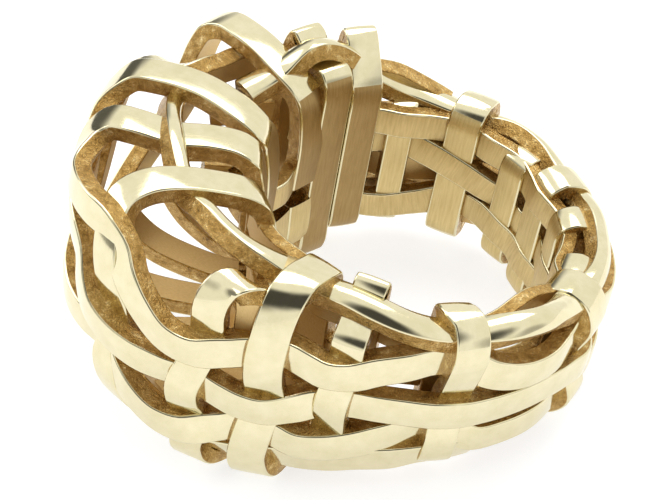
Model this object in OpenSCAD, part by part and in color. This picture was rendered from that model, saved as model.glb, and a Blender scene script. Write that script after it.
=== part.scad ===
// Cage ring: a finger ring woven from flat metal ribbons that are fused where
// they cross. Millimetres. The ring is drawn about its finger hole (angle 0 is
// the head, 90 the front, 180 the palm side, 270 the back) and then laid down
// on its side, resting on z = 0.

/* [Piece] */

/* [Ribbons] */
// radius of the finger hole
bore_r = 8.75; // [8.7:0.01:8.8]
// width of a ribbon
rib_w = 2.0; // [1.9:0.05:2.1]
// thickness of a ribbon
rib_t = 1.1; // [1.05:0.05:1.2]
// how far an upper ribbon stands over the one it crosses
lift = 0.3; // [0.25:0.05:0.35]
// lean of the ring as it rests on its side, degrees
lean = 7.84; // [7:0.02:8.6]

/* [Hidden] */
in_r = bore_r - 0.23;      // finger-side face before the hole is cut
rest_h = 6.885;            // height of the middle of the hole over the table
shift_x = 4.07;            // puts the middle of the outline over the origin
shift_y = -0.27;

// Outline of the ring seen along the finger: angle, radius of the outer face.
OUTLINE = [[-100, 11.7], [-90, 11.8], [-80, 12.0], [-70, 12.6], [-60, 13.5],
    [-50, 15.2], [-40, 17.2], [-30, 18.9], [-20, 20.0], [-10, 20.6], [0, 20.8],
    [10, 20.6], [20, 20.0], [30, 18.9], [40, 17.2], [50, 15.2], [60, 13.6],
    [70, 12.6], [80, 12.0], [90, 11.8], [110, 11.9], [130, 12.2], [160, 12.2],
    [180, 12.0], [200, 11.9], [230, 11.7], [260, 11.7], [270, 11.8],
    [280, 12.1], [290, 12.7], [300, 13.6], [310, 15.2], [330, 18.9]];

// ---------------------------------------------------------------- geometry
function er(a) = [-cos(a), -sin(a), 0];
function unit(v) = v / norm(v);
// a row is [angle, radius, height, lean of the face: 0 outward, 90 up], and in
// some tables a width
function on(p) = p[1] * er(p[0]) + [0, 0, p[2]];
// direction of the face of a row, swung round by s where it lies on the outside
function face(p, s = 0) = cos(p[3]) * er(p[0] + s * min(1, max(0, (p[1] - 10) / 3))) + [0, 0, sin(p[3])];
// a place on the outer wall, k ribbons-lifts proud of it
function wall(a, z, k = 0, tilt = 0) =
    [a, lookup(a, OUTLINE) + k * lift - 0.0006 * pow(abs(z), 4) * (abs(a) < 60 ? 0.4 : 0.2), z, tilt];
function walls(t) = [for (p = t) wall(p[0], p[1], p[2], p[3])];

function cr(a, b, c, d, t) = 0.5 * (2 * b + (c - a) * t
    + (2 * a - 5 * b + 4 * c - d) * t * t + (3 * b - a - 3 * c + d) * t * t * t);
function smooth(p, n) = n < 2 ? p : concat(
    [for (i = [0:len(p) - 2], k = [0:n - 1]) cr(p[max(i - 1, 0)], p[i], p[i + 1],
        p[min(i + 2, len(p) - 1)], k / n)], [p[len(p) - 1]]);

// a flat ribbon whose outer face follows the rows, open or joined end to end
module ribbon(rows, w = rib_w, t = rib_t, joined = false, n = 1, swing = 0) {
    q = smooth(rows, n);
    m = len(q);
    last = joined ? m - 1 : m - 2;
    c = [for (p = q) on(p)];
    T = [for (i = [0:m - 1]) joined ? unit(c[(i + 1) % m] - c[(i + m - 1) % m])
        : unit(c[min(i + 1, m - 1)] - c[max(i - 1, 0)])];
    N = [for (i = [0:m - 1]) let (f = face(q[i], swing)) unit(f - (f * T[i]) * T[i])];
    B = [for (i = [0:m - 1]) cross(T[i], N[i]) * (len(q[i]) > 4 ? q[i][4] : w) / 2];
    pts = [for (i = [0:m - 1]) each [c[i] + B[i], c[i] - B[i],
        c[i] - B[i] - t * N[i], c[i] + B[i] - t * N[i]]];
    side = [for (i = [0:last], k = [0:3]) let (j = (i + 1) % m, l = (k + 1) % 4)
        each [[4 * i + k, 4 * i + l, 4 * j + l], [4 * i + k, 4 * j + l, 4 * j + k]]];
    caps = joined ? [] : [[3, 2, 1], [3, 1, 0],
        [4 * m - 4, 4 * m - 3, 4 * m - 2], [4 * m - 4, 4 * m - 2, 4 * m - 1]];
    polyhedron(pts, concat(caps, side), convexity = 12);
}

// closed loop round the section of the band: angles at the finger side, at the
// outer face and underneath, outer radius, top and bottom heights, width; the
// outer run goes over (1) or under (-1) the upper row, then the other way twice
function loop(ai, ao, ab, ro, zt, zb, k = 1, c = 1.5) = let (p = ao - ai, q = ab - ai) [
    [ai, in_r, zt - c, 180], [ai + 0.15 * p, in_r + 0.3 * c, zt - 0.3 * c, 135],
    [ai + 0.4 * p, in_r + c, zt, 90], [ai + 0.6 * p, ro - c, zt, 90], [ai + 0.85 * p, ro - 0.2 * c, zt - 0.35 * c, 45],
    [ao, ro + k * lift, 2.6, 0], [(ao + ab) / 2, ro - k * lift, -0.8, 0], [ab, ro + k * lift, -3.3, 0],
    [ai + 0.9 * q, ro - 0.3 * c, zb + 0.3 * c, -50], [ai + 0.7 * q, ro - c, zb, -90], [ai + 0.3 * q, in_r + c, zb, -90],
    [ai + 0.1 * q, in_r + 0.3 * c, zb + 0.3 * c, -135], [ai, in_r, zb + c, -180]];

// ------------------------------------------------------------------ tables
// loops of the band: finger-side angle, outer angle, lower angle, outer
// radius, top, bottom, width, over or under
LOOPS = [
    [150, 151, 150, 12.2, 4.8, -5.2, 2.2, 1], [164, 164, 164, 11.6, 4.1, -5.0, 1.9, -1],
    [188, 188.3, 188, 11.5, 4.1, -5.5, 1.9, -1], [206, 204, 204, 11.9, 4.7, -5.6, 2.1, 1],
    [223, 222, 222, 11.3, 4.2, -4.7, 1.9, -1], [248, 246, 247.5, 11.9, 5.8, -5.2, 2.2, 1],
    [273, 270, 270, 11.5, 4.8, -4.9, 1.7, -1]];
// the two loops beside the head on the far side, over and under the rail
BACK_D = [[289.8, in_r, 5.6, 180], [289.8, 9.1, 6.7, 148], [289.8, 9.6, 7.4, 125], [289.7, 10.4, 8.3, 118],
    [289.6, 11.2, 9.1, 104], [289.5, 11.9, 9.2, 65], [289.3, 12.5, 8.3, 25], [289, 12.7, 6.4, 3],
    [288.5, 12.9, 2.6, 0], [288, 12.3, -0.8, 0], [287.5, 12.9, -3.3, 0], [287.5, 12.2, -5.3, -50],
    [287.9, 11.2, -5.8, -90], [288.7, 10.3, -5.8, -90], [289.5, 9.3, -5.3, -135], [289.8, in_r, -4.4, -180]];
BACK_E = [[303.5, in_r, 6.6, 180], [303.5, 9.1, 7.7, 145], [303.6, 9.7, 8.2, 100], [303.8, 10.5, 8.1, 84],
    [304, 11.4, 8.1, 100], [304.4, 12.1, 9.0, 112], [304.8, 12.8, 9.3, 60], [305, 13.4, 8.3, 20],
    [305, 13.7, 5.6, 0], [305, 13.9, 2.6, 0], [304.5, 13.3, -0.8, 0], [304, 13.9, -3.3, 0], [303.9, 13.2, -7.1, -50],
    [303.8, 12.1, -7.6, -90], [303.7, 10.4, -7.6, -90], [303.6, 9.3, -7.1, -135], [303.5, in_r, -6.1, -180]];
// loop at the front of the band, over the rail
FRONT = [[100, in_r, 4.9, 180], [100, 9.0, 5.9, 135], [101, 10.1, 6.3, 92],
    [103, 10.9, 6.2, 80], [103.5, 11.8, 5.6, 45], [103.5, 12.3, 4.5, 5], [103, 12.2, 2.9, 0],
    [102, 11.6, -0.5, 0], [101, 12.1, -3.0, 0], [101, 11.7, -4.7, -45], [101, 10.6, -5.2, -90],
    [100, 10.0, -5.2, -90], [100, 9.0, -4.8, -135], [100.7, in_r, -3.7, -180]];
// loop beside it, under the rail, with its crest on the finger side
BESIDE = [[71.5, in_r, 5.3, 180], [71.5, 9.1, 6.5, 120], [70.5, 9.7, 6.3, 70],
    [70.5, 10.3, 5.4, 62], [70.5, 11.4, 5.0, 60], [70.5, 12.3, 4.4, 20], [70.5, 12.4, 2.6, 0],
    [69.5, 12.9, -0.5, 0], [69.5, 12.3, -3.4, 0], [69, 12.0, -5.0, -40], [69, 10.8, -5.7, -90],
    [70, 10.1, -5.6, -90], [70, 9.0, -5.1, -135], [71, in_r, -4.0, -180]];

// arches over the head, each starting on the finger wall
ARCH_P = concat([[-2, in_r, 0, 180], [-2, in_r, 3.5, 180], [-2, 9.3, 6.2, 165],
    [-1.5, 9.7, 7.3, 130], [-3, 10.7, 7.8, 100], [-3.2, 12.5, 8.0, 93], [-2.6, 14.4, 8.0, 90],
    [-3.5, 16.9, 8.3, 85], [-4.5, 18.5, 8.1, 70], [-3.5, 19.5, 7.4, 45], [0, 20.1, 6.7, 22],
    [5, 20.5, 6.4, 8], [10, 20.4, 6.6, 3], [15, 20.0, 6.8, 3], [19.5, 19.3, 6.7, 8]],
    walls([[24, 5.9, -1, 20], [28, 5.1, 0, 20], [32, 4.0, 0.5, 14], [37, 2.8, 1, 6],
    [42, 2.4, 1, 0], [47, 2.6, 0, 0], [52, 2.8, -1, 0], [57, 2.8, -1, 0], [62, 2.5, 0, 0],
    [67, 2.3, 1, 0], [73, 2.3, 1, 0], [80, 2.7, 0.5, 0], [88, 3.1, 0, 0], [96, 3.3, -1, 0],
    [104, 3.1, -1, 0], [111, 2.5, 0, 0], [118, 1.9, 0, 0], [126, 1.6, 0, 0], [134, 1.7, 0, 0],
    [142, 2.1, -0.5, 0], [150, 2.4, -1, 0], [157, 2.2, 0, 0], [165, 1.8, 1, 0], [187, 1.8, 1, 0],
    [205, 2.1, -1, 0], [223, 1.8, 1, 0], [247, 2.4, -1, 0], [270, 1.9, 1, 0], [286, 2.2, -1, 0],
    [303, 2.4, -1, 0], [318, 1.6, 1, 0]]));
ARCH_U = concat([[-18, in_r, 0, 180], [-18, in_r, 3.5, 180], [-18, 9.3, 6.2, 165],
    [-16, 9.7, 7.2, 130], [-16.8, 10.8, 7.9, 100], [-18.8, 12.5, 8.3, 93], [-20, 14.3, 8.5, 90],
    [-20, 16.8, 8.4, 85], [-19.3, 18.5, 8.1, 70], [-17.5, 19.5, 7.2, 45], [-14, 20.2, 6.1, 22],
    [-9, 20.3, 5.0, 8], [-4, 20.1, 4.5, 3], [1, 20.2, 4.3, 0], [6, 20.5, 4.2, 0],
    [10.5, 20.4, 3.9, 0], [14.5, 20.2, 3.2, 0]],
    walls([[18, 2.2, 0.5, 0], [21.5, 1.2, 1, 0], [26, 0.5, 1, 0], [31, 0.1, 0.5, 0],
    [36, -0.1, 0, 0], [41, -0.4, -1, 0], [46, -0.8, 0, 0], [51, -1.1, 1, 0], [56, -1.3, 1, 0],
    [61, -1.2, 0, 0], [66, -0.9, -1, 0], [73, -0.7, -1, 0], [81, -0.5, 0, 0], [89, -0.4, 0.5, 0],
    [97, -0.3, 1, 0], [105, -0.3, 1, 0], [113, -0.4, 0.5, 0], [122, -0.5, 0, 0], [133, -0.5, 0, 0],
    [143, -0.6, 0.5, 0], [151, -0.7, 1, 0], [164, -0.8, -1, 0], [187, -0.8, -1, 0], [205, -0.8, 1, 0],
    [223, -0.8, -1, 0], [247, -0.8, 1, 0], [270, -1.0, -1, 0], [286, -1.2, 1, 0], [303, -1.2, 1, 0],
    [318, -0.8, -1, 0], [326, -0.6, 0, 0]]));
ARCH_F = [[18, in_r, 3.5, 180], [18, 9.2, 5.8, 165], [17.5, 9.7, 6.9, 130],
    [16.5, 10.7, 7.6, 103], [15, 12.4, 8.0, 95], [14.5, 14.6, 8.4, 90], [14.5, 16.5, 8.3, 80],
    [16, 18.0, 7.8, 55], [19, 18.9, 6.8, 25], [21.8, 19.4, 5.3, 8], [23.8, 19.4, 3.7, 0],
    [25.2, 18.9, 1.9, 0], [25.2, 18.6, -0.4, 0], [24.6, 19.3, -2.2, -5], [25.6, 19.2, -3.8, -15],
    [27.2, 18.6, -5.0, -35], [28.3, 17.4, -5.9, -65], [28.3, 15.4, -6.4, -88], [28, 12.5, -6.6, -92],
    [27, 10.2, -6.4, -105], [26, 9.1, -5.7, -140], [25, in_r, -4.4, -180]];
ARCH_T = concat([[-46, in_r, 0, 180], [-46, in_r, 3.8, 180], [-45.5, 9.3, 6.4, 160],
    [-44.5, 10.0, 7.4, 120], [-43.5, 11.2, 8.0, 98], [-43.5, 13.4, 8.6, 92], [-43.6, 15.2, 8.7, 86],
    [-43.6, 16.8, 8.5, 72], [-42.5, 17.9, 7.8, 45], [-41.5, 18.4, 6.4, 20], [-40, 18.6, 4.6, 5],
    [-36, 18.4, 2.4, 0], [-30, 18.8, 0.4, 0], [-23, 19.2, -1.4, 0], [-15, 19.5, -3.0, -5],
    [-7, 19.4, -4.2, -15], [1, 18.9, -4.9, -25], [9, 18.3, -5.3, -35], [17, 17.6, -5.6, -40],
    [25, 16.9, -5.8, -40], [33, 16.2, -6.1, -38], [41, 15.4, -6.4, -35], [49, 14.4, -6.2, -25],
    [56, 13.4, -6.0, -20], [63, 12.9, -5.8, -15], [70, 12.4, -5.5, -10], [78, 12.1, -5.0, -10],
    [88, 11.9, -4.6, -10], [96, 11.7, -4.3, -15], [104, 11.6, -4.2, -15], [114, 11.4, -4.4, -20]]);
// shoulder ribbon that comes forward from the back rim and winds down the head
ARCH_J = concat([[-102, 11.7, 4.1, 12], [-92, 11.8, 4.9, 12], [-84, 12.0, 5.5, 12], [-76, 12.1, 5.8, 12],
    [-67, 12.7, 6.2, 12], [-59, 13.3, 6.4, 12], [-52, 14.2, 6.5, 12], [-45, 15.2, 6.5, 12],
    [-39, 15.5, 6.7, 12], [-34, 15.7, 6.9, 18], [-30, 16.1, 7.3, 32], [-26.7, 16.8, 7.6, 52],
    [-24.5, 17.7, 7.8, 66], [-22.6, 18.7, 7.6, 58], [-20.8, 19.5, 6.9, 36], [-18, 19.9, 5.5, 14],
    [-12, 19.8, 3.5, 3], [-6, 19.9, 1.8, 0], [0, 20.3, 0.2, 0],
    [5, 20.6, -0.8, 0], [11, 20.5, -1.3, 0], [17, 19.9, -1.5, 0], [22, 19.0, -1.9, 0]],
    walls([[27, -2.5, -0.5, 0], [32, -3.3, 0.5, 0], [37, -4.0, 1, 0], [42, -4.1, 1, 0],
    [47, -3.6, 0, 0], [52, -3.3, -1, 0], [57, -3.4, 0, 0], [63, -3.8, 1, 0], [70, -3.8, 1, 0],
    [78, -3.4, 0.5, 0], [86, -2.7, 0, 0], [95, -2.2, -1, 0], [103, -2.3, -1, 0], [111, -3.0, 0, 0],
    [120, -3.0, 0, 0], [130, -2.8, 0, 0], [141, -2.8, -0.5, 0], [151, -2.9, -1, 0], [164, -3.0, 1, 0],
    [187, -3.0, 1, 0], [205, -3.0, -1, 0], [223, -3.0, 1, 0], [247, -3.2, -1, 0], [270, -3.6, 1, 0],
    [286, -3.8, -1, 0], [303, -4.0, -1, 0], [318, -3.7, 1, 0]]));
// ribbon over the top of the head that becomes the polished rail of the band
RAIL = [[-24, 15.6, 7.0, 115, 1.2], [-16, 15.3, 7.6, 120, 1.2], [-8, 14.9, 8.2, 122, 1.2],
    [-2, 14.6, 8.5, 125, 1.2], [5, 14.3, 8.4, 128, 1.2], [11, 14.1, 8.0, 130, 1.2], [17, 13.8, 7.6, 132, 1.2],
    [23.5, 13.4, 7.9, 135, 1.2], [29.5, 13.0, 7.7, 135, 1.3], [35, 12.5, 7.4, 130, 1.4],
    [40, 11.9, 7.1, 120, 1.6], [45, 11.2, 6.7, 108, 1.9], [50, 10.6, 6.4, 98, 2], [57, 10.2, 6.2, 90, 2],
    [66, 10.3, 6.4, 82, 2], [75, 10.6, 6.3, 76, 2], [85, 10.6, 5.9, 80, 2], [94, 10.6, 5.5, 86, 2],
    [103, 10.6, 5.3, 88, 2], [111, 10.9, 5.7, 75, 2], [119, 11.3, 6.0, 62, 2], [127, 11.3, 5.9, 62, 2],
    [134, 11.0, 5.4, 72, 2], [142, 11.0, 4.7, 80, 1.8], [151, 11.0, 4.0, 76, 1.8], [160, 11.4, 4.1, 60, 1.4],
    [170, 11.6, 4.1, 52, 1.3], [180, 11.6, 4.1, 50, 1.3], [190, 11.6, 4.1, 50, 1.3], [198, 11.5, 3.9, 54, 1.4],
    [206, 11.3, 3.7, 58, 1.4], [214, 11.3, 4.0, 50, 1.4], [222, 11.4, 4.3, 40, 1.4], [232, 11.4, 4.4, 34, 1.4],
    [240, 11.2, 4.4, 48, 1.5], [248, 10.8, 4.5, 75, 1.6], [256, 10.6, 4.8, 90, 1.7], [274, 10.9, 5.5, 88, 1.8],
    [286, 11.0, 6.6, 78, 1.8], [294, 11.1, 8.2, 66, 1.8], [302, 11.3, 9.0, 60, 1.8], [309, 11.5, 9.1, 64, 1.8],
    [319, 11.9, 7.8, 84, 1.8], [329, 12.6, 7.1, 95, 1.8]];
// strap of the front cheek of the head, with its small loop and its foot
CHEEK = [[46, 13.3, 1.0, 180], [46, 13.3, 5.2, 180], [45.6, 13.5, 6.3, 135], [44.2, 14.2, 6.9, 100],
    [42.6, 15.0, 6.8, 72], [42, 15.7, 6.1, 38], [42, 16.1, 4.9, 8], [42.4, 16.0, 3.6, 0],
    [42.3, 16.1, 2.3, 0], [41.8, 16.6, 1.0, 3], [41.4, 17.2, -0.6, 0], [41.4, 17, -2.1, -3],
    [41.4, 16.3, -3.4, -3], [41.5, 16.1, -4.6, 0], [41.2, 16.3, -6.1, -10], [41.2, 15.8, -7.4, -45],
    [41.5, 14.7, -8.0, -85], [43, 12, -7.6, -92], [44, 10.2, -6.9, -105], [44, 9.1, -6.0, -140],
    [44, in_r, -4.8, -180], [44, in_r, -1, -180]];
// strap behind the cheek, a full loop
SHOULDER = [[53, in_r, 5.2, 180], [53, 9.1, 6.4, 135], [53.4, 10.2, 6.9, 98],
    [53.4, 12.0, 7.2, 86], [54, 13.3, 6.7, 48], [54.3, 14.1, 5.2, 12], [54.6, 14.6, 2.8, 0],
    [54.8, 14.5, 1.0, 0], [55, 14.1, -0.8, 0], [54.8, 14.4, -2.2, 0], [54.5, 14.7, -3.4, 0], [54, 14.7, -5.4, -3],
    [54.2, 14.1, -7.2, -40],
    [54.2, 12.8, -7.9, -85], [54, 10.2, -7.3, -95], [54, 9.1, -6.4, -140], [54, in_r, -5.2, -180]];
// straps under the head, mirrored below from the arches above
UNDER = [[8, 18.8, 17.6], [-6, 19.0, 17.8], [-20, 18.9, 17.6], [-33, 17.4, 16.2], [-46, 15.4, 14.4]];
// ribbons along the finger wall: heights at the palm and at the head
LININGS = [[3.1, 5.2], [0.4, 0.8], [-2.7, -4.2]];
// angles of the rows of those ribbons
STANDS = [-57, -40, -22, -4, 13, 30, 47, 64, 82, 100, 117, 134, 150, 168, 187, 206, 223, 241, 258, 275, 289, 303];

module under(a, r1, r2) ribbon([[a, r1 - 0.6, -2.5, 0], [a, r1, -4.2, -15], [a, r2, -5.6, -50],
    [a, r2 - 2.0, -6.4, -78], [a, 11.3, -6.6, -92], [a, 9.8, -6.2, -115],
    [a, in_r, -4.8, -170], [a + 0.6, in_r, -1.5, -180]]);

module lining(zp, zh) ribbon([for (a = STANDS)
    [a, in_r + 0.12, zp + (zh - zp) * pow(max(0, cos(a)), 0.7), 180]], t = 0.9);

module woven() {
    for (s = LOOPS) ribbon(loop(s[0], s[1], s[2], s[3], s[4], s[5], s[7]), w = s[6], joined = true);
    for (s = [FRONT, BESIDE]) ribbon(s, joined = true);
    for (s = [BACK_D, BACK_E]) ribbon(s, w = 2.1, joined = true);
    ribbon(ARCH_F, joined = true, swing = 20);
    ribbon(CHEEK, swing = 30);
    for (s = [RAIL, ARCH_J]) ribbon(s);
    for (s = [ARCH_P, ARCH_U, ARCH_T]) ribbon(s, w = 2.1);
    ribbon(SHOULDER, w = 2.25, joined = true, swing = 30);
    for (u = UNDER) under(u[0], u[1], u[2]);
    for (s = LININGS) lining(s[0], s[1]);
}

// the weave is one mesh, so that its crossings are fused and the hole is round
module cage_ring() color("gold") resize([0, 0, 0])
    translate([shift_x, shift_y, rest_h]) rotate([0, lean, 0]) difference() {
        woven();
        rotate([0, 0, 1]) cylinder(r = bore_r, h = 40, center = true, $fn = 80);
    }

cage_ring();
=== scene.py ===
import math
import bpy
import numpy as np
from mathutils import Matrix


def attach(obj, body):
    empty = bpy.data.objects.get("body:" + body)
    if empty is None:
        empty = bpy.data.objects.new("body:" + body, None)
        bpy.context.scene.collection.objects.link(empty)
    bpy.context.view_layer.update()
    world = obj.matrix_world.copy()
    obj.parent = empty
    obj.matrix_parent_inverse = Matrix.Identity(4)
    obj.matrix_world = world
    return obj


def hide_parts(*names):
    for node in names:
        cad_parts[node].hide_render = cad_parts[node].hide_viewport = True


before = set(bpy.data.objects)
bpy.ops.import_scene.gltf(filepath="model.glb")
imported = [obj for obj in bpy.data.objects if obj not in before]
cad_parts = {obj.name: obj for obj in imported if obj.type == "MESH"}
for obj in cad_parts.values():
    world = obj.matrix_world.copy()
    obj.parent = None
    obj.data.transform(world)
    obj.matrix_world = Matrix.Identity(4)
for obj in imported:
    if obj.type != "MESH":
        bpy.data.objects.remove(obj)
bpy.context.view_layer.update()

# ------------------------------------------------------------- dimensions, mm
BORE_R = 8.75        # the finger hole
RIB_W = 2.0          # a ribbon's width and thickness
RIB_T = 1.1
LIFT = 0.42          # how far an upper ribbon stands over the one it crosses
LEAN = math.radians(7.84)
SHIFT = np.array([4.07, -0.27, 6.885])
IN_R = BORE_R + 0.1  # finger-side face of the straps
WALL_ON = 8.68       # finger-side face of a lining where it crosses over a strap
WALL_OFF = 9.35      # and where it passes behind one
FINE = 0.45          # longest step along a ribbon
BEVEL = 0.13         # rounding of the polished edges
BACK = 0.09          # rounding of the edges at the back
CROWN = 0.04         # the polished face is very slightly domed

OUTLINE = [[-100, 11.7], [-90, 11.8], [-80, 12.0], [-70, 12.6], [-60, 13.5],
    [-50, 15.2], [-40, 17.2], [-30, 18.9], [-20, 20.0], [-10, 20.6], [0, 20.8],
    [10, 20.6], [20, 20.0], [30, 18.9], [40, 17.2], [50, 15.2], [60, 13.6],
    [70, 12.6], [80, 12.0], [90, 11.8], [110, 11.9], [130, 12.2], [160, 12.2],
    [180, 12.0], [200, 11.9], [230, 11.7], [260, 11.7], [270, 11.8],
    [280, 12.1], [290, 12.7], [300, 13.6], [310, 15.2], [330, 18.9]]


def outline(a):
    return float(np.interp(a, [p[0] for p in OUTLINE], [p[1] for p in OUTLINE]))


def wall(a, z, k=0, tilt=0):
    return [a, outline(a) + k * LIFT - 0.0006 * abs(z) ** 4 * (0.4 if abs(a) < 60 else 0.2), z, tilt]


def walls(rows):
    return [wall(*p) for p in rows]


def loop(ai, ao, ab, ro, zt, zb, k=1):
    c = min(1.5, (ro - IN_R) / 2 - 0.15)

    def top(s):
        return ai + s * (ao - ai)

    def low(s):
        return ai + s * (ab - ai)

    return [[ai, IN_R, zt - c, 180], [top(0.15), IN_R + 0.3 * c, zt - 0.3 * c, 135], [top(0.4), IN_R + c, zt, 90],
        [top(0.6), ro - c, zt, 90], [top(0.85), ro - 0.2 * c, zt - 0.35 * c, 45], [ao, ro + k * LIFT, 2.6, 0],
        [(ao + ab) / 2, ro - k * LIFT, -0.8, 0], [ab, ro + k * LIFT, -3.3, 0],
        [low(0.9), ro - 0.3 * c, zb + 0.3 * c, -50], [low(0.7), ro - c, zb, -90], [low(0.3), IN_R + c, zb, -90],
        [low(0.1), IN_R + 0.3 * c, zb + 0.3 * c, -135], [ai, IN_R, zb + c, -180]]


def under(a, r1, r2):
    return [[a, r1 - 0.6, -2.5, 0], [a, r1, -4.2, -15], [a, r2, -5.6, -50], [a, r2 - 2.0, -6.4, -78],
        [a, 11.3, -6.6, -92], [a, 9.8, -6.2, -115], [a, IN_R, -4.8, -170], [a, IN_R, -1.5, -180]]


def lining(rows):
    """A ribbon on the finger wall: angle, height and whether it passes over (1) or behind (-1) the strap there."""
    return [[a, (WALL_ON + WALL_OFF) / 2 + (WALL_ON - WALL_OFF) / 2 * k, z, 180] for a, z, k in rows]


# rows: angle round the ring, radius, height, lean of the face (0 outward, 90
# up, 180 to the finger), and in one table the width; the same as in the CAD
LOOPS = [
    ("loop_front_right", 150, 151, 150, 12.2, 4.8, -5.2, 2.2, 1), ("loop_palm_a", 164, 164, 164, 11.6, 4.1, -5.0, 1.9, -1),
    ("loop_palm_b", 188, 188, 188, 11.5, 4.1, -5.5, 1.9, -1), ("loop_palm_c", 206, 204, 204, 11.9, 4.7, -5.6, 2.1, 1),
    ("loop_back_a", 223, 222, 222, 11.3, 4.2, -4.7, 1.9, -1), ("loop_back_b", 248, 246, 247.5, 11.9, 5.8, -5.2, 2.2, 1),
    ("loop_back_c", 273, 270, 270, 11.5, 4.8, -4.9, 1.7, -1)]
BACK_D = [[289.8, IN_R, 5.6, 180], [289.8, 9.1, 6.7, 148], [289.8, 9.6, 7.4, 125], [289.7, 10.4, 8.3, 118],
    [289.6, 11.2, 9.1, 104], [289.5, 11.9, 9.2, 65], [289.3, 12.5, 8.3, 25], [289, 12.7, 6.4, 3],
    [288.5, 12.9, 2.6, 0], [288, 12.3, -0.8, 0], [287.5, 12.9, -3.3, 0], [287.5, 12.2, -5.3, -50],
    [287.9, 11.2, -5.8, -90], [288.7, 10.3, -5.8, -90], [289.5, 9.3, -5.3, -135], [289.8, IN_R, -4.4, -180]]
BACK_E = [[303.5, IN_R, 6.6, 180], [303.5, 9.1, 7.7, 145], [303.6, 9.7, 8.2, 100], [303.8, 10.5, 8.1, 84],
    [304, 11.4, 8.1, 100], [304.4, 12.1, 9.0, 112], [304.8, 12.8, 9.3, 60], [305, 13.4, 8.3, 20],
    [305, 13.7, 5.6, 0], [305, 13.9, 2.6, 0], [304.5, 13.3, -0.8, 0], [304, 13.9, -3.3, 0], [303.9, 13.2, -7.1, -50],
    [303.8, 12.1, -7.6, -90], [303.7, 10.4, -7.6, -90], [303.6, 9.3, -7.1, -135], [303.5, IN_R, -6.1, -180]]
FRONT = [[100, IN_R, 4.9, 180], [100, 9.2, 5.9, 135], [101, 10.1, 6.3, 92],
    [103, 10.9, 6.2, 80], [103.5, 11.8, 5.6, 45], [103.5, 12.3, 4.5, 5], [103, 12.2, 2.9, 0],
    [102, 11.6, -0.5, 0], [101, 12.1, -3.0, 0], [101, 11.7, -4.7, -45], [101, 10.6, -5.2, -90],
    [100, 10.0, -5.2, -90], [100, 9.1, -4.8, -135], [100, IN_R, -3.7, -180]]
BESIDE = [[71.5, IN_R, 5.6, 180], [71.5, 9.0, 6.6, 150], [71.3, 9.3, 7.0, 105], [71, 9.8, 6.8, 70],
    [70.5, 10.4, 5.6, 62], [70.5, 11.4, 5.0, 60], [70.5, 12.3, 4.4, 20], [70.5, 12.4, 2.6, 0],
    [69.5, 12.9, -0.5, 0], [69.5, 12.3, -3.4, 0], [69, 12.0, -5.0, -40], [69, 10.8, -5.7, -90],
    [70, 10.1, -5.6, -90], [70, 9.1, -5.1, -135], [71, IN_R, -4.0, -180]]
ARCH_P = [[-2, IN_R, 0, 180], [-2, IN_R, 3.5, 180], [-2, 9.3, 6.2, 165],
    [-1.5, 9.7, 7.3, 130], [-3, 10.7, 7.8, 100], [-3.2, 12.5, 8.0, 93], [-2.6, 14.4, 8.0, 90],
    [-3.5, 16.9, 8.3, 85], [-4.5, 18.5, 8.1, 70], [-3.5, 19.5, 7.4, 45], [0, 20.1, 6.7, 22],
    [5, 20.5, 6.4, 8], [10, 20.4, 6.6, 3], [15, 20.0, 6.8, 3], [19.5, 19.3, 6.7, 8]] + walls([
    [24, 5.9, -1, 20], [28, 5.1, 0, 20], [32, 4.0, 0.5, 14], [37, 2.8, 1, 6],
    [42, 2.4, 1, 0], [47, 2.6, 0, 0], [52, 2.8, -1, 0], [57, 2.8, -1, 0], [62, 2.5, 0, 0],
    [67, 2.3, 1, 0], [73, 2.3, 1, 0], [80, 2.7, 0.5, 0], [88, 3.1, 0, 0], [96, 3.3, -1, 0],
    [104, 3.1, -1, 0], [111, 2.5, 0, 0], [118, 1.9, 0, 0], [126, 1.6, 0, 0], [134, 1.7, 0, 0],
    [142, 2.1, -0.5, 0], [150, 2.4, -1, 0], [157, 2.2, 0, 0], [165, 1.8, 1, 0], [187, 1.8, 1, 0],
    [205, 2.1, -1, 0], [223, 1.8, 1, 0], [247, 2.4, -1, 0], [270, 1.9, 1, 0], [286, 2.2, -1, 0],
    [303, 2.4, -1, 0], [318, 1.6, 1, 0]])
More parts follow.
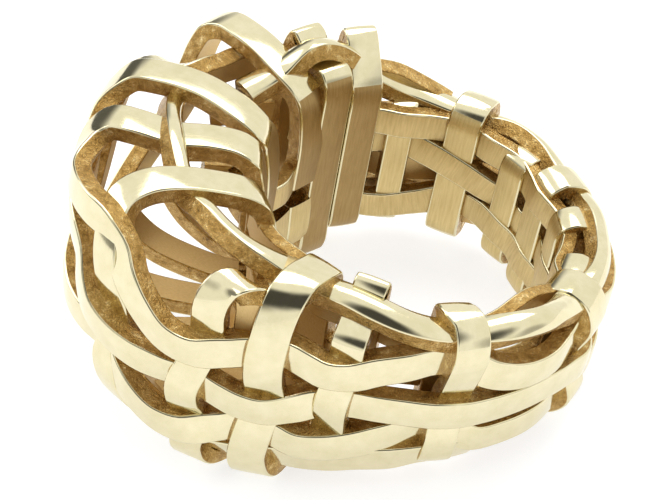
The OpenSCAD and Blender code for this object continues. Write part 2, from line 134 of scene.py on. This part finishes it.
ARCH_U = [[-18, IN_R, 0, 180], [-18, IN_R, 3.5, 180], [-18, 9.3, 6.2, 165],
    [-16, 9.7, 7.2, 130], [-16.8, 10.8, 7.9, 100], [-18.8, 12.5, 8.3, 93], [-20, 14.3, 8.5, 90],
    [-20, 16.8, 8.4, 85], [-19.3, 18.5, 8.1, 70], [-17.5, 19.5, 7.2, 45], [-14, 20.2, 6.1, 22],
    [-9, 20.3, 5.0, 8], [-4, 20.1, 4.5, 3], [1, 20.2, 4.3, 0], [6, 20.5, 4.2, 0],
    [10.5, 20.4, 3.9, 0], [14.5, 20.2, 3.2, 0]] + walls([
    [18, 2.2, 0.5, 0], [21.5, 1.2, 1, 0], [26, 0.5, 1, 0], [31, 0.1, 0.5, 0],
    [36, -0.1, 0, 0], [41, -0.4, -1, 0], [46, -0.8, 0, 0], [51, -1.1, 1, 0], [56, -1.3, 1, 0],
    [61, -1.2, 0, 0], [66, -0.9, -1, 0], [73, -0.7, -1, 0], [81, -0.5, 0, 0], [89, -0.4, 0.5, 0],
    [97, -0.3, 1, 0], [105, -0.3, 1, 0], [113, -0.4, 0.5, 0], [122, -0.5, 0, 0], [133, -0.5, 0, 0],
    [143, -0.6, 0.5, 0], [151, -0.7, 1, 0], [164, -0.8, -1, 0], [187, -0.8, -1, 0], [205, -0.8, 1, 0],
    [223, -0.8, -1, 0], [247, -0.8, 1, 0], [270, -1.0, -1, 0], [286, -1.2, 1, 0], [303, -1.2, 1, 0],
    [318, -0.8, -1, 0], [326, -0.6, 0, 0]])
ARCH_F = [[18, IN_R, 3.5, 180], [18, 9.2, 5.8, 165], [17.5, 9.7, 6.9, 130],
    [16.5, 10.7, 7.6, 103], [15, 12.4, 8.0, 95], [14.5, 14.6, 8.4, 90], [14.5, 16.5, 8.3, 80],
    [16, 18.0, 7.8, 55], [19, 18.9, 6.8, 25], [21.8, 19.4, 5.3, 8], [23.8, 19.4, 3.7, 0],
    [25.2, 18.9, 1.9, 0], [25.2, 18.6, -0.4, 0], [24.6, 19.3, -2.2, -5], [25.6, 19.2, -3.8, -15],
    [27.2, 18.6, -5.0, -35], [28.3, 17.4, -5.9, -65], [28.3, 15.4, -6.4, -88], [28, 12.5, -6.6, -92],
    [27, 10.2, -6.4, -105], [26, 9.2, -5.7, -140], [25, IN_R, -4.4, -180]]
ARCH_T = [[-46, IN_R, 0, 180], [-46, IN_R, 3.8, 180], [-45.5, 9.3, 6.4, 160],
    [-44.5, 10.0, 7.4, 120], [-43.5, 11.2, 8.0, 98], [-43.5, 13.4, 8.6, 92], [-43.6, 15.2, 8.7, 86],
    [-43.6, 16.8, 8.5, 72], [-42.5, 17.9, 7.8, 45], [-41.5, 18.4, 6.4, 20], [-40, 18.6, 4.6, 5],
    [-36, 18.4, 2.4, 0], [-30, 18.8, 0.4, 0], [-23, 19.2, -1.4, 0], [-15, 19.5, -3.0, -5],
    [-7, 19.4, -4.2, -15], [1, 18.9, -4.9, -25], [9, 18.3, -5.3, -35], [17, 17.6, -5.6, -40],
    [25, 16.9, -5.8, -40], [33, 16.2, -6.1, -38], [41, 15.4, -6.4, -35], [49, 14.4, -6.2, -25],
    [56, 13.4, -6.0, -20], [63, 12.9, -5.8, -15], [70, 12.4, -5.5, -10], [78, 12.1, -5.0, -10],
    [88, 11.9, -4.6, -10], [96, 11.7, -4.3, -15], [104, 11.6, -4.2, -15], [114, 11.4, -4.4, -20]]
ARCH_J = [[-102, 11.7, 4.1, 12], [-92, 11.8, 4.9, 12], [-84, 12.0, 5.5, 12], [-76, 12.1, 5.8, 12],
    [-67, 12.7, 6.2, 12], [-59, 13.3, 6.4, 12], [-52, 14.2, 6.5, 12], [-45, 15.2, 6.5, 12],
    [-39, 15.5, 6.7, 12], [-34, 15.7, 6.9, 18], [-30, 16.1, 7.3, 32], [-26.7, 16.8, 7.6, 52],
    [-24.5, 17.7, 7.8, 66], [-22.6, 18.7, 7.6, 58], [-20.8, 19.5, 6.9, 36], [-18, 19.9, 5.5, 14],
    [-12, 19.8, 3.5, 3], [-6, 19.9, 1.8, 0], [0, 20.3, 0.2, 0],
    [5, 20.6, -0.8, 0], [11, 20.5, -1.3, 0], [17, 19.9, -1.5, 0], [22, 19.0, -1.9, 0]] + walls([
    [27, -2.5, -0.5, 0], [32, -3.3, 0.5, 0], [37, -4.0, 1, 0], [42, -4.1, 1, 0],
    [47, -3.6, 0, 0], [52, -3.3, -1, 0], [57, -3.4, 0, 0], [63, -3.8, 1, 0], [70, -3.8, 1, 0],
    [78, -3.4, 0.5, 0], [86, -2.7, 0, 0], [95, -2.2, -1, 0], [103, -2.3, -1, 0], [111, -3.0, 0, 0],
    [120, -3.0, 0, 0], [130, -2.8, 0, 0], [141, -2.8, -0.5, 0], [151, -2.9, -1, 0], [164, -3.0, 1, 0],
    [187, -3.0, 1, 0], [205, -3.0, -1, 0], [223, -3.0, 1, 0], [247, -3.2, -1, 0], [270, -3.6, 1, 0],
    [286, -3.8, -1, 0], [303, -4.0, -1, 0], [318, -3.7, 1, 0]])
RAIL = [[-24, 15.6, 7.0, 115, 1.2], [-16, 15.3, 7.6, 120, 1.2], [-8, 14.9, 8.2, 122, 1.2],
    [-2, 14.6, 8.5, 125, 1.2], [5, 14.3, 8.4, 128, 1.2], [11, 14.1, 8.0, 130, 1.2], [17, 13.8, 7.6, 132, 1.2],
    [23.5, 13.4, 7.9, 135, 1.2], [29.5, 13.0, 7.7, 135, 1.3], [35, 12.5, 7.4, 130, 1.4],
    [40, 11.9, 7.1, 120, 1.6], [45, 11.2, 6.7, 108, 1.9], [50, 10.7, 6.4, 98, 1.9], [57, 10.5, 6.2, 88, 1.7],
    [66, 10.6, 6.4, 80, 1.6], [75, 10.8, 6.3, 74, 1.6], [85, 10.9, 5.9, 78, 1.6], [94, 10.8, 5.5, 84, 1.7],
    [103, 10.7, 5.3, 86, 1.8], [111, 11.1, 5.6, 73, 1.7], [119, 11.5, 5.8, 60, 1.6], [127, 11.6, 5.7, 60, 1.5],
    [134, 11.3, 5.3, 68, 1.5], [142, 11.0, 4.7, 80, 1.8], [151, 11.0, 4.0, 76, 1.8], [160, 11.4, 4.1, 60, 1.4],
    [170, 11.6, 4.1, 52, 1.3], [180, 11.6, 4.1, 50, 1.3], [190, 11.6, 4.1, 50, 1.3], [198, 11.5, 3.9, 54, 1.4],
    [206, 11.3, 3.7, 58, 1.4], [214, 11.3, 4.0, 50, 1.4], [222, 11.4, 4.3, 40, 1.4], [232, 11.4, 4.4, 34, 1.4],
    [240, 11.2, 4.4, 48, 1.5], [248, 10.8, 4.5, 75, 1.6], [256, 10.6, 4.8, 90, 1.7], [274, 10.9, 5.5, 88, 1.8],
    [286, 11.0, 6.6, 78, 1.8], [294, 11.1, 8.2, 66, 1.8], [302, 11.3, 9.0, 60, 1.8], [309, 11.5, 9.1, 64, 1.8],
    [319, 11.9, 7.8, 84, 1.8], [329, 12.6, 7.1, 95, 1.8]]
CHEEK = [[46, 13.3, 1.0, 180], [46, 13.3, 5.2, 180], [45.6, 13.5, 6.3, 135], [44.2, 14.2, 6.9, 100],
    [42.6, 15.0, 6.8, 72], [42, 15.7, 6.1, 38], [42, 16.1, 4.9, 8], [42.4, 16.1, 3.6, 0],
    [42.3, 16.2, 2.3, 0], [41.8, 16.7, 1.0, 3], [41.4, 17.3, -0.6, 0], [41.4, 17.1, -2.1, -3],
    [41.4, 16.4, -3.4, -3], [41.5, 16.2, -4.6, 0], [41.2, 16.4, -6.1, -10], [41.2, 15.9, -7.4, -45],
    [41.5, 14.7, -8.0, -85], [43, 12, -7.6, -92], [44, 10.2, -6.9, -105], [44, 9.2, -6.0, -140],
    [44, IN_R, -4.8, -180], [44, IN_R, -1, -180]]
SHOULDER = [[53, IN_R, 5.2, 180], [53, 9.2, 6.4, 135], [53.4, 10.2, 6.9, 98],
    [53.4, 12.0, 7.2, 86], [54, 13.3, 6.7, 48], [54.3, 14.2, 5.2, 12], [54.6, 14.8, 2.8, 0],
    [54.8, 14.7, 1.0, 0], [55, 14.2, -0.8, 0], [54.8, 14.5, -2.2, 0], [54.5, 14.8, -3.4, 0], [54, 14.9, -5.4, -3],
    [54.2, 14.2, -7.2, -40],
    [54.2, 12.8, -7.9, -85], [54, 10.2, -7.3, -95], [54, 9.2, -6.4, -140], [54, IN_R, -5.2, -180]]
UNDER = [("under_a", 8, 18.8, 17.6), ("under_b", -6, 19.0, 17.8), ("under_c", -20, 18.9, 17.6),
    ("under_d", -33, 17.4, 16.2), ("under_e", -46, 15.4, 14.4)]
LINING_TOP = [[14, 4.9, -1], [26, 4.7, -1], [44, 4.4, 1], [53, 4.2, -1], [62, 4.0, 0], [71, 3.7, 1], [86, 3.4, 0],
    [100, 3.2, -1], [118, 3.6, 0], [134, 3.9, 1], [150, 3.2, -1], [164, 2.7, 1], [176, 2.6, 0], [188, 2.6, -1], [197, 2.7, 0],
    [206, 2.9, 1], [215, 3.0, 0], [223, 3.1, -1], [236, 3.4, 0], [248, 3.5, -1], [260, 3.6, 0], [273, 3.7, 1], [281, 3.7, 0],
    [289, 3.7, -1], [296, 3.8, -1], [306, 4.0, -1], [318, 4.3, -1]]
LINING_MIDDLE = [[-57, 0.9, -1], [-46, 0.8, -1], [-32, 0.7, 1], [-18, 0.6, -1], [-2, 0.6, -1], [10, 0.6, 1], [26, 0.6, -1],
    [44, 0.5, -1], [53, 0.5, 1], [71, 0.4, -1], [86, 0.4, 1], [100, 0.3, 1], [118, 0.2, 0], [134, 0.0, -1], [150, -0.2, 1],
    [164, -0.4, -1], [176, -0.5, 0], [188, -0.5, 1], [197, -0.4, 0], [206, -0.3, -1], [215, -0.2, 0], [223, 0.0, -1],
    [236, 0.6, 0.6], [248, 1.1, 1], [260, 1.6, 0.6], [273, 1.9, -1], [289, 1.8, -1], [303, 1.2, -1]]
LINING_BOTTOM = [[-57, -3.6, -1], [-46, -3.8, -1], [-32, -4.0, -1], [-18, -4.1, 1], [-2, -4.2, -1], [10, -4.1, -1],
    [26, -4.0, 1], [44, -3.8, -1], [53, -3.6, -1], [71, -3.3, 1], [86, -3.0, 0], [100, -2.8, -1], [118, -2.7, 0],
    [134, -2.7, 1], [150, -2.7, -1], [164, -2.7, 1], [176, -2.7, 0], [188, -2.7, -1], [197, -2.6, 0], [206, -2.4, 1],
    [215, -2.1, 0.6], [223, -1.9, 1], [236, -1.7, 0], [248, -2.0, -1], [260, -2.7, 0], [273, -3.1, 1], [281, -3.2, 0.6],
    [289, -3.3, -1], [303, -3.5, -1]]


# ------------------------------------------------------------------- geometry
def er(a):
    a = math.radians(a)
    return np.array([-math.cos(a), -math.sin(a), 0.0])


def smooth(rows, joined):
    """A curve through the rows, drawn so that a short step beside a long one doesn't swing out."""
    p = np.array(rows, float)
    m = len(p)
    if joined:  # the face turns through a whole circle on the way round
        back, on = np.zeros(p.shape[1]), np.zeros(p.shape[1])
        back[3], on[3] = 360, -360
        p = np.vstack([p[-1] + back, p, p[0] + on, p[1] + on])
    else:
        p = np.vstack([2 * p[0] - p[1], p, 2 * p[-1] - p[-2]])
    x = np.array([r[1] * er(r[0]) + [0, 0, r[2]] for r in p])
    out = []
    for i in range(1, len(p) - 2):
        k = [0.0]
        for j in range(i - 1, i + 2):
            k.append(k[-1] + max(np.linalg.norm(x[j + 1] - x[j]), 0.05) ** 0.5)
        size = np.linalg.norm(x[i + 1] - x[i])
        steps = int(max(2, math.ceil(size / FINE), math.ceil(abs(p[i + 1][3] - p[i][3]) / 11)))
        for t in np.linspace(k[1], k[2], steps, endpoint=False):
            a = [((k[n + 1] - t) * p[i - 1 + n] + (t - k[n]) * p[i + n]) / (k[n + 1] - k[n]) for n in range(3)]
            b = [((k[n + 2] - t) * a[n] + (t - k[n]) * a[n + 1]) / (k[n + 2] - k[n]) for n in range(2)]
            out.append(((k[2] - t) * b[0] + (t - k[1]) * b[1]) / (k[2] - k[1]))
    if not joined:
        out.append(p[-2])
    return np.array(out)


def closed(rows):
    """The rows of a ring with its run along the finger wall kept straight."""
    a, b = rows[-1], list(rows[0])
    b[3] -= 360
    return rows + [[x + (y - x) * f for x, y in zip(a, b)] for f in (0.15, 0.85)]


def place(v):
    c, s = math.cos(LEAN), math.sin(LEAN)
    v = np.asarray(v)
    return (np.stack([v[:, 0] * c + v[:, 2] * s, v[:, 1], -v[:, 0] * s + v[:, 2] * c], 1) + SHIFT) / 1000


def turn(v):
    c, s = math.cos(LEAN), math.sin(LEAN)
    return np.stack([v[:, 0] * c + v[:, 2] * s, v[:, 1], -v[:, 0] * s + v[:, 2] * c], 1)


def section(w, t, crown):
    """Points across the ribbon, then out of its face, with normals, and the kind of each strip: 0 face, 1 flank, 2 back."""
    h, c, d = w / 2, BEVEL, BACK
    e = h - c

    def dome(x):
        return (x * e, crown * (1 - x * x), 2 * crown * x / e, 1, 0)

    half = [(h, -t + d, 1, 0, 1), (h, -c, 1, 0, 0), (h - 0.3 * c, -0.3 * c, 0.707, 0.707, 0), dome(1), dome(0.66), dome(0.33)]
    pts = half + [dome(0)]
    pts += [(-b, n, -nb, nn, 0) for b, n, nb, nn, _ in half[::-1]]
    pts[-2] = pts[-2][:4] + (1,)
    pts[-1] = pts[-1][:4] + (1,)
    pts += [(-h + 0.3 * d, -t + 0.3 * d, -0.707, -0.707, 1), (-h + d, -t, 0, -1, 2), (h - d, -t, 0, -1, 1),
        (h - 0.3 * d, -t + 0.3 * d, 0.707, -0.707, 1)]
    return pts


def unit(v):
    return v / np.maximum(np.linalg.norm(v, axis=-1), 1e-9)[..., None]


def along(c, joined):
    """Direction of a row of points at each of them, the mean of the ways in and out."""
    if joined:
        d = unit(np.roll(c, -1, 0) - c)
        return unit(d + np.roll(d, 1, 0))
    d = unit(np.diff(c, axis=0))
    return unit(np.concatenate([d[:1], d[1:] + d[:-1], d[-1:]]))


def ribbon(name, rows, w=RIB_W, t=RIB_T, joined=False, mats=(), crown=CROWN, brushed=(0, 0), swing=0):
    q = smooth(closed(rows) if joined else rows, joined)
    m = len(q)
    c = np.array([r[1] * er(r[0]) + [0, 0, r[2]] for r in q])
    T = along(c, joined)
    f = np.array([math.cos(math.radians(r[3])) * er(r[0] + swing * min(1, max(0, (r[1] - 10) / 3)))
        + [0, 0, math.sin(math.radians(r[3]))] for r in q])
    N = f - (f * T).sum(1)[:, None] * T
    N /= np.linalg.norm(N, axis=1)[:, None]
    B = np.cross(T, N)
    run = np.concatenate([[0], np.cumsum(np.linalg.norm(np.diff(c, axis=0), axis=1))])
    sec = section(w, t, crown)
    k = len(sec)
    P = np.zeros((m, k, 3))
    M = np.zeros((m, k, 3))
    uvs = []
    for i in range(m):
        wi = q[i][4] if len(q[i]) > 4 else w
        for s, (b, h, nb, nn, _) in enumerate(section(wi, t, crown)):
            P[i, s] = c[i] + b * B[i] + h * N[i]
            M[i, s] = nb * B[i] + nn * N[i]
            uvs.append((run[i], b + h * 3))
    # the true normal of the swept surface at each point, square to its own line along the ribbon
    S = np.cross(np.repeat(T[:, None], k, 1), M)
    G = unit(np.cross(S, np.stack([along(P[:, s], joined) for s in range(k)], 1)))
    G *= np.sign((G * M).sum(-1))[..., None]
    verts, norms = P.reshape(-1, 3), G.reshape(-1, 3)
    faces, kinds = [], []
    for i in range(m if joined else m - 1):
        j = (i + 1) % m
        inner = abs(q[i][3]) > 150 and q[i][1] < 9.6 or brushed[0] < q[i][0] < brushed[1]
        for s in range(k):
            s2 = (s + 1) % k
            faces.append((i * k + s, j * k + s, j * k + s2, i * k + s2))
            kind = sec[s][4]
            kinds.append(3 if inner and 3 <= s <= 8 else kind)
    if not joined:
        faces.append(tuple(range(k)))
        faces.append(tuple((m - 1) * k + s for s in range(k - 1, -1, -1)))
        kinds += [1, 1]
    me = bpy.data.meshes.new(name)
    me.from_pydata(place(verts).tolist(), [], faces)
    ob = bpy.data.objects.new(name, me)
    bpy.context.scene.collection.objects.link(ob)
    for x in mats:
        me.materials.append(x)
    me.polygons.foreach_set("material_index", kinds)
    me.polygons.foreach_set("use_smooth", [True] * len(faces))
    uv = me.uv_layers.new(name="rib")
    flat = []
    for fi, face in enumerate(faces):
        for v in face:
            u = uvs[v][0]
            if joined and fi >= (m - 1) * k and v < k:
                u = run[-1] + float(np.linalg.norm(c[0] - c[-1]))
            flat += [u * 0.1, uvs[v][1] * 0.1]
    uv.data.foreach_set("uv", flat)
    me.validate()
    me.update()
    me.normals_split_custom_set_from_vertices(turn(norms).tolist())
    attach(ob, "root")
    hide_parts("cage_ring")
    return ob


# ------------------------------------------------------------------ materials
def nodes_of(name):
    mat = bpy.data.materials.new(name)
    mat.use_nodes = True
    nt = mat.node_tree
    nt.nodes.clear()
    out = nt.nodes.new("ShaderNodeOutputMaterial")
    bs = nt.nodes.new("ShaderNodeBsdfPrincipled")
    nt.links.new(bs.outputs[0], out.inputs[0])
    bs.inputs["Metallic"].default_value = 1.0
    return mat, nt, bs


def uv_noise(nt, scale, stretch, detail=3.0, rough=0.6):
    co = nt.nodes.new("ShaderNodeUVMap")
    co.uv_map = "rib"
    mp = nt.nodes.new("ShaderNodeMapping")
    mp.inputs["Scale"].default_value = stretch
    no = nt.nodes.new("ShaderNodeTexNoise")
    no.inputs["Scale"].default_value = scale
    no.inputs["Detail"].default_value = detail
    no.inputs["Roughness"].default_value = rough
    nt.links.new(co.outputs[0], mp.inputs[0])
    nt.links.new(mp.outputs[0], no.inputs["Vector"])
    return no


def solid_noise(nt, scale, detail=3.0, rough=0.6):
    co = nt.nodes.new("ShaderNodeTexCoord")
    no = nt.nodes.new("ShaderNodeTexNoise")
    no.inputs["Scale"].default_value = scale
    no.inputs["Detail"].default_value = detail
    no.inputs["Roughness"].default_value = rough
    nt.links.new(co.outputs["Object"], no.inputs["Vector"])
    return no


def ramp(nt, source, stops):
    r = nt.nodes.new("ShaderNodeValToRGB")
    nt.links.new(source, r.inputs[0])
    while len(r.color_ramp.elements) < len(stops):
        r.color_ramp.elements.new(0.5)
    for e, (p, c) in zip(r.color_ramp.elements, stops):
        e.position = p
        e.color = tuple(c) + (1,)
    return r.outputs[0]


def to_range(nt, source, lo, hi, f=0.3, t=0.7):
    r = nt.nodes.new("ShaderNodeMapRange")
    nt.links.new(source, r.inputs[0])
    for i, v in enumerate((f, t, lo, hi)):
        r.inputs[i + 1].default_value = v
    return r.outputs[0]


def bump(nt, bs, source, strength, distance, before=None):
    b = nt.nodes.new("ShaderNodeBump")
    b.inputs["Strength"].default_value = strength
    b.inputs["Distance"].default_value = distance
    nt.links.new(source, b.inputs["Height"])
    if before is not None:
        nt.links.new(before, b.inputs["Normal"])
    nt.links.new(b.outputs[0], bs.inputs["Normal"])
    return b.outputs[0]


def polished():
    """The polished faces: pale yellow gold with the faint waviness of hand finishing and hair-fine wipe marks."""
    mat, nt, bs = nodes_of("gold_polished")
    wave = solid_noise(nt, 420, 2, 0.5)
    hair = uv_noise(nt, 9, (0.3, 5, 1), 4, 0.6)
    col = ramp(nt, solid_noise(nt, 900, 4, 0.6).outputs[0], [(0.3, (0.71, 0.64, 0.40)), (0.7, (0.78, 0.71, 0.48))])
    nt.links.new(col, bs.inputs["Base Color"])
    nt.links.new(to_range(nt, hair.outputs[0], 0.07, 0.15), bs.inputs["Roughness"])
    first = bump(nt, bs, wave.outputs[0], 0.25, 0.00008)
    bump(nt, bs, hair.outputs[0], 0.05, 0.00001, first)
    return mat


def flank_grain_and_painted_shade():
    """The flanks: a fine grain that sparkles, on a deep brown tone darker than the gold of the faces, which is painted
    shade and dark reflection of the side faces.
    """
    mat, nt, bs = nodes_of("gold_flank_painted_shade")
    grain = solid_noise(nt, 6500, 3, 0.75)
    patch = solid_noise(nt, 1500, 4, 0.75)
    # deep brown tone of the flanks, varying in random patches: painted shade and dark reflection of the side faces
    col = ramp(nt, patch.outputs[0], [(0.28, (0.22, 0.12, 0.03)), (0.42, (0.42, 0.25, 0.07)), (0.58, (0.58, 0.38, 0.13)), (0.72, (0.88, 0.72, 0.38))])
    nt.links.new(col, bs.inputs["Base Color"])
    nt.links.new(to_range(nt, grain.outputs[0], 0.12, 0.30), bs.inputs["Roughness"])
    bump(nt, bs, grain.outputs[0], 1.0, 0.00012)
    return mat


def back():
    """The backs of the ribbons, satin and a little darker."""
    mat, nt, bs = nodes_of("gold_back")
    grain = uv_noise(nt, 20, (2, 14, 1), 4, 0.65)
    col = ramp(nt, grain.outputs[0], [(0.3, (0.62, 0.42, 0.16)), (0.7, (0.82, 0.62, 0.30))])
    nt.links.new(col, bs.inputs["Base Color"])
    nt.links.new(to_range(nt, grain.outputs[0], 0.36, 0.54), bs.inputs["Roughness"])
    bs.inputs["Metallic"].default_value = 0.85
    bump(nt, bs, grain.outputs[0], 0.4, 0.00002)
    return mat


def satin(name, stretch, low, high):
    """The finger side: brushed to a satin olive gold with fine lines up and down."""
    mat, nt, bs = nodes_of(name)
    lines = uv_noise(nt, 16, stretch, 5, 0.7)
    soft = solid_noise(nt, 500, 2, 0.5)
    col = ramp(nt, lines.outputs[0], [(0.3, low), (0.7, high)])
    mix = nt.nodes.new("ShaderNodeMix")
    mix.data_type = "RGBA"
    mix.blend_type = "MULTIPLY"
    mix.inputs[0].default_value = 0.35
    nt.links.new(col, mix.inputs[6])
    nt.links.new(ramp(nt, soft.outputs[0], [(0.3, (0.7, 0.66, 0.6)), (0.7, (1, 1, 1))]), mix.inputs[7])
    nt.links.new(mix.outputs[2], bs.inputs["Base Color"])
    nt.links.new(to_range(nt, lines.outputs[0], 0.34, 0.50), bs.inputs["Roughness"])
    bump(nt, bs, lines.outputs[0], 0.5, 0.00003)
    return mat


POLISH, FLANK, REAR = polished(), flank_grain_and_painted_shade(), back()
STRAP = (POLISH, FLANK, REAR, satin("gold_satin", (0.3, 4, 1), (0.60, 0.45, 0.19), (0.80, 0.65, 0.33)))
# a darker copy of the finger-side satin, used on the back loops and the head's arches: painted shade
PAINTED_SHADE_STRAP = (POLISH, FLANK, REAR, satin("gold_satin_painted_shade", (0.3, 4, 1), (0.34, 0.22, 0.085), (0.50, 0.35, 0.15)))
ROUND = (POLISH, FLANK, REAR, satin("gold_satin_lining", (4, 0.3, 1), (0.54, 0.39, 0.16), (0.78, 0.62, 0.31)))

# --------------------------------------------------------------------- pieces
for s in LOOPS:
    ribbon(s[0], loop(*s[1:7], s[8]), w=s[7], joined=True, mats=PAINTED_SHADE_STRAP if s[1] > 280 else STRAP)
ribbon("loop_front", FRONT, joined=True, mats=STRAP)
ribbon("loop_beside", BESIDE, joined=True, mats=STRAP)
ribbon("loop_back_d", BACK_D, w=2.1, joined=True, mats=PAINTED_SHADE_STRAP)
ribbon("loop_back_e", BACK_E, w=2.1, joined=True, mats=PAINTED_SHADE_STRAP)
ribbon("arch_front", ARCH_F, joined=True, mats=PAINTED_SHADE_STRAP, swing=20)
ribbon("arch_middle", ARCH_P, w=2.1, mats=PAINTED_SHADE_STRAP)
ribbon("arch_upper", ARCH_U, w=2.1, mats=PAINTED_SHADE_STRAP)
ribbon("arch_tall", ARCH_T, w=2.1, mats=PAINTED_SHADE_STRAP)
ribbon("shoulder_back", ARCH_J, mats=STRAP)
ribbon("rail", RAIL, mats=STRAP, crown=0.22, brushed=(44, 50))
ribbon("cheek", CHEEK, mats=STRAP, swing=30)
ribbon("shoulder_front", SHOULDER, w=2.25, joined=True, mats=STRAP, swing=30)
for s in UNDER:
    ribbon(s[0], under(*s[1:]), mats=STRAP)
for name, rows in (("lining_top", LINING_TOP), ("lining_middle", LINING_MIDDLE), ("lining_bottom", LINING_BOTTOM)):
    ribbon(name, lining(rows), t=0.9, mats=ROUND)

# ---------------------------------------------------------------------- stage
bpy.ops.mesh.primitive_plane_add(size=1.2, location=(0, 0, -0.00002))
floor = bpy.context.object
floor.name = "floor"
fm = bpy.data.materials.new("floor_white")
fm.use_nodes = True
fb = fm.node_tree.nodes["Principled BSDF"]
fb.inputs["Base Color"].default_value = (0.46, 0.46, 0.47, 1)
fb.inputs["Emission Color"].default_value = (1, 1, 1, 1)
fb.inputs["Emission Strength"].default_value = 0.72
fb.inputs["Roughness"].default_value = 0.65
fb.inputs["Specular IOR Level"].default_value = 0.2
floor.data.materials.append(fm)


def area(name, loc, size, power, aim=(0, 0, 0.008), colour=(1, 1, 1)):
    light = bpy.data.lights.new(name, "AREA")
    light.shape = "RECTANGLE"
    light.size, light.size_y = size
    light.energy = power
    light.color = colour
    ob = bpy.data.objects.new(name, light)
    bpy.context.scene.collection.objects.link(ob)
    ob.location = loc
    d = np.array(aim) - np.array(loc)
    ob.rotation_euler = (math.atan2(math.hypot(d[0], d[1]), -d[2]), 0, math.atan2(d[0], -d[1]) + math.pi)
    return ob


area("key_top", (0.06, 0.16, 0.34), (0.26, 0.20), 0.55)
area("left_wall", (-0.30, 0.10, 0.22), (0.20, 0.24), 0.30)

world = bpy.data.worlds.new("studio")
bpy.context.scene.world = world
world.use_nodes = True
nt = world.node_tree
bg = nt.nodes["Background"]
co = nt.nodes.new("ShaderNodeTexCoord")


def spot(way, inner, outer, value):
    """A soft-edged patch of the studio round one direction, darker (under 1) or brighter than the rest."""
    way = np.array(way) / np.linalg.norm(way)
    dot = nt.nodes.new("ShaderNodeVectorMath")
    dot.operation = "DOT_PRODUCT"
    dot.inputs[1].default_value = tuple(way)
    nt.links.new(co.outputs["Generated"], dot.inputs[0])
    mr = nt.nodes.new("ShaderNodeMapRange")
    mr.interpolation_type = "SMOOTHSTEP"
    nt.links.new(dot.outputs["Value"], mr.inputs[0])
    for i, v in enumerate((math.cos(math.radians(outer)), math.cos(math.radians(inner)), 1.0, value)):
        mr.inputs[i + 1].default_value = v
    return mr.outputs[0]


def times(a, b):
    m = nt.nodes.new("ShaderNodeMath")
    m.operation = "MULTIPLY"
    nt.links.new(a, m.inputs[0])
    nt.links.new(b, m.inputs[1])
    return m.outputs[0]


level = spot((0, -0.73, 0.68), 17, 36, 0.07)
level = times(level, spot((-1, -0.25, 0.25), 8, 34, 0.25))
level = times(level, spot((-0.46, 0.87, 0.15), 10, 28, 0.12))
level = times(level, spot((0.9, -0.6, 0.1), 5, 26, 0.5))
level = times(level, spot((0, 0, -1), 60, 92, 0.8))
nt.links.new(level, bg.inputs[1])
bg.inputs[0].default_value = (1.1, 1.1, 1.09, 1)

cam = bpy.data.cameras.new("camera")
cam.sensor_width = 36.0
cam.lens = 102.73
cam.clip_start = 0.005
cam.clip_end = 5
camera = bpy.data.objects.new("camera", cam)
camera.location = ((SHIFT[0] - 4.19) / 1000, (SHIFT[1] - 84.81) / 1000, (SHIFT[2] + 80.69) / 1000)
camera.rotation_euler = (math.radians(46.84), 0, 0)
bpy.context.scene.collection.objects.link(camera)
bpy.context.scene.camera = camera
bpy.context.scene.view_settings.view_transform = "Standard"
